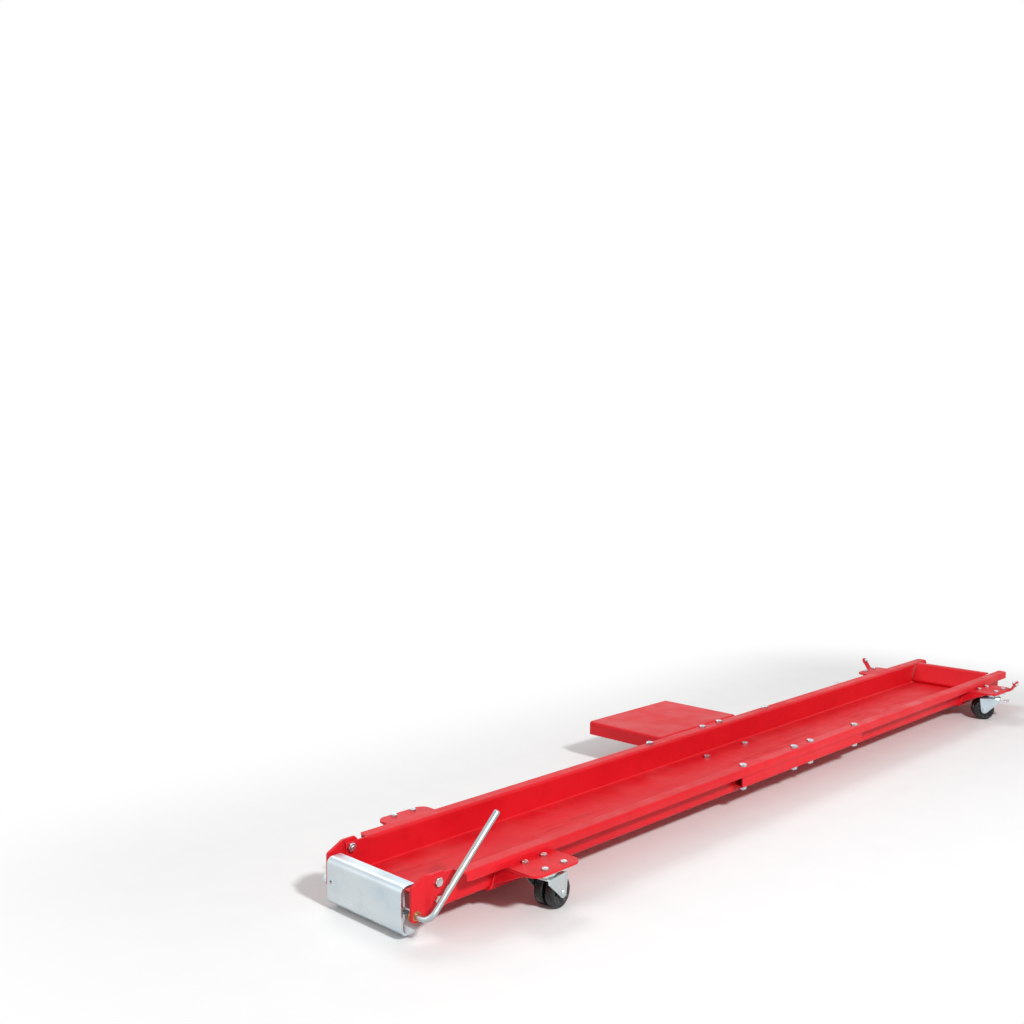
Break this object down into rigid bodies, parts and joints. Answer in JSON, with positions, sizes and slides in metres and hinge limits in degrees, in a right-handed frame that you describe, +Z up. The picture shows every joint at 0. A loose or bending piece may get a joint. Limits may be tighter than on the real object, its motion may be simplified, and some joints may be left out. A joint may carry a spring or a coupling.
{
  "type": "motorcycle mover dolly",
  "caption": "Low steel trough on swivel casters that carries a parked motorcycle, with a lever-worked rear wheel stop and a side-stand plate.",
  "frame": {"origin": "bottom centre of the whole dolly's box, on the ground under the casters", "axes": "+X towards the front wheel stop, +Y towards the side-stand plate, +Z up"},
  "size_m": [2.098, 0.5502, 0.1719],
  "materials": {
    "red_paint": "gloss red powder coat",
    "zinc_plate": "bright zinc plate with a faint blue cast",
    "black_wheel": "smooth black moulded wheel",
    "bronze_bush": "plain sintered bronze"
  },
  "bodies": {
    "frame": {"rear_channel": "red_paint", "front_channel": "red_paint", "splice_tube_left": "red_paint", "splice_tube_right": "red_paint", "splice_floor_plate": "red_paint", "flange_bolts": "zinc_plate", "flange_nuts": "zinc_plate", "floor_bolts": "zinc_plate", "floor_nuts": "zinc_plate", "rear_outrigger": "red_paint", "front_outrigger": "red_paint", "tie_down_tabs": "red_paint", "tie_down_screws": "zinc_plate", "tie_down_nuts": "zinc_plate", "caster_bolts": "zinc_plate", "caster_nuts": "zinc_plate", "ear_left": "red_paint", "ear_right": "red_paint", "ear_bolts": "zinc_plate", "ear_nuts": "zinc_plate", "pivot_bushes": "bronze_bush", "front_stop": "red_paint", "front_stop_bolts": "zinc_plate", "front_stop_nuts": "zinc_plate", "side_stand_plate": "red_paint", "side_bolts": "zinc_plate", "side_nuts": "zinc_plate", "side_spacers": "zinc_plate", "rear_right_caster_plate": "zinc_plate", "rear_right_kingpin": "zinc_plate", "rear_left_caster_plate": "zinc_plate", "rear_left_kingpin": "zinc_plate", "front_right_caster_plate": "zinc_plate", "front_right_kingpin": "zinc_plate", "front_left_caster_plate": "zinc_plate", "front_left_kingpin": "zinc_plate"},
    "rear_stop": {"rear_stop": "zinc_plate", "stop_lever": "zinc_plate", "shaft_collar": "zinc_plate"},
    "rear_right_swivel": {"rear_right_fork": "zinc_plate", "rear_right_axle": "zinc_plate"},
    "rear_right_wheel_inner": {"rear_right_wheel_inner": "black_wheel"},
    "rear_right_wheel_outer": {"rear_right_wheel_outer": "black_wheel"},
    "rear_left_swivel": {"rear_left_fork": "zinc_plate", "rear_left_axle": "zinc_plate"},
    "rear_left_wheel_inner": {"rear_left_wheel_inner": "black_wheel"},
    "rear_left_wheel_outer": {"rear_left_wheel_outer": "black_wheel"},
    "front_right_swivel": {"front_right_fork": "zinc_plate", "front_right_axle": "zinc_plate"},
    "front_right_wheel_inner": {"front_right_wheel_inner": "black_wheel"},
    "front_right_wheel_outer": {"front_right_wheel_outer": "black_wheel"},
    "front_right_brake_pedal": {"front_right_brake_pedal": "zinc_plate"},
    "front_left_swivel": {"front_left_fork": "zinc_plate", "front_left_axle": "zinc_plate"},
    "front_left_wheel_inner": {"front_left_wheel_inner": "black_wheel"},
    "front_left_wheel_outer": {"front_left_wheel_outer": "black_wheel"},
    "front_left_brake_pedal": {"front_left_brake_pedal": "zinc_plate"}
  },
  "joints": [
    {"name": "rear_stop_hinge", "type": "hinge", "parent": "frame", "child": "rear_stop", "pos_m": [-1.03, -0.05893, 0.038], "axis": [0, -1, 0], "range_deg": [0, 95]},
    {"name": "rear_right_swivel_turn", "type": "hinge", "parent": "frame", "child": "rear_right_swivel", "pos_m": [-0.814, -0.21696, 0.0578], "axis": [0, 0, 1], "continuous": true},
    {"name": "rear_right_wheel_inner_spin", "type": "hinge", "parent": "rear_right_swivel", "child": "rear_right_wheel_inner", "pos_m": [-0.79467, -0.20364, 0.0254], "axis": [-0.1392, 0.9903, 0], "continuous": true},
    {"name": "rear_right_wheel_outer_spin", "type": "hinge", "parent": "rear_right_swivel", "child": "rear_right_wheel_outer", "pos_m": [-0.79174, -0.22443, 0.0254], "axis": [-0.1392, 0.9903, 0], "continuous": true},
    {"name": "rear_left_swivel_turn", "type": "hinge", "parent": "frame", "child": "rear_left_swivel", "pos_m": [-0.814, 0.09909, 0.0578], "axis": [0, 0, 1], "continuous": true},
    {"name": "rear_left_wheel_inner_spin", "type": "hinge", "parent": "rear_left_swivel", "child": "rear_left_wheel_inner", "pos_m": [-0.7906, 0.10096, 0.0254], "axis": [0.3746, 0.9272, 0], "continuous": true},
    {"name": "rear_left_wheel_outer_spin", "type": "hinge", "parent": "rear_left_swivel", "child": "rear_left_wheel_outer", "pos_m": [-0.79846, 0.08149, 0.0254], "axis": [0.3746, 0.9272, 0], "continuous": true},
    {"name": "front_right_swivel_turn", "type": "hinge", "parent": "frame", "child": "front_right_swivel", "pos_m": [0.873, -0.21696, 0.0578], "axis": [0, 0, 1], "continuous": true},
    {"name": "front_right_wheel_inner_spin", "type": "hinge", "parent": "front_right_swivel", "child": "front_right_wheel_inner", "pos_m": [0.8518, -0.20687, 0.0254], "axis": [-0.788, -0.6157, 0], "continuous": true},
    {"name": "front_right_wheel_outer_spin", "type": "hinge", "parent": "front_right_swivel", "child": "front_right_wheel_outer", "pos_m": [0.86835, -0.19394, 0.0254], "axis": [-0.788, -0.6157, 0], "continuous": true},
    {"name": "front_right_brake_press", "type": "hinge", "parent": "front_right_swivel", "child": "front_right_brake_pedal", "pos_m": [0.87977, -0.22562, 0.0488], "axis": [0.788, 0.6157, 0], "range_deg": [0, 15]},
    {"name": "front_left_swivel_turn", "type": "hinge", "parent": "frame", "child": "front_left_swivel", "pos_m": [0.873, 0.09909, 0.0578], "axis": [0, 0, 1], "continuous": true},
    {"name": "front_left_wheel_inner_spin", "type": "hinge", "parent": "front_left_swivel", "child": "front_left_wheel_inner", "pos_m": [0.84956, 0.1005, 0.0254], "axis": [-0.5, -0.866, 0], "continuous": true},
    {"name": "front_left_wheel_outer_spin", "type": "hinge", "parent": "front_left_swivel", "child": "front_left_wheel_outer", "pos_m": [0.86006, 0.11868, 0.0254], "axis": [-0.5, -0.866, 0], "continuous": true},
    {"name": "front_left_brake_press", "type": "hinge", "parent": "front_left_swivel", "child": "front_left_brake_pedal", "pos_m": [0.88253, 0.09359, 0.0488], "axis": [0.5, 0.866, 0], "range_deg": [0, 15]}
  ]
}
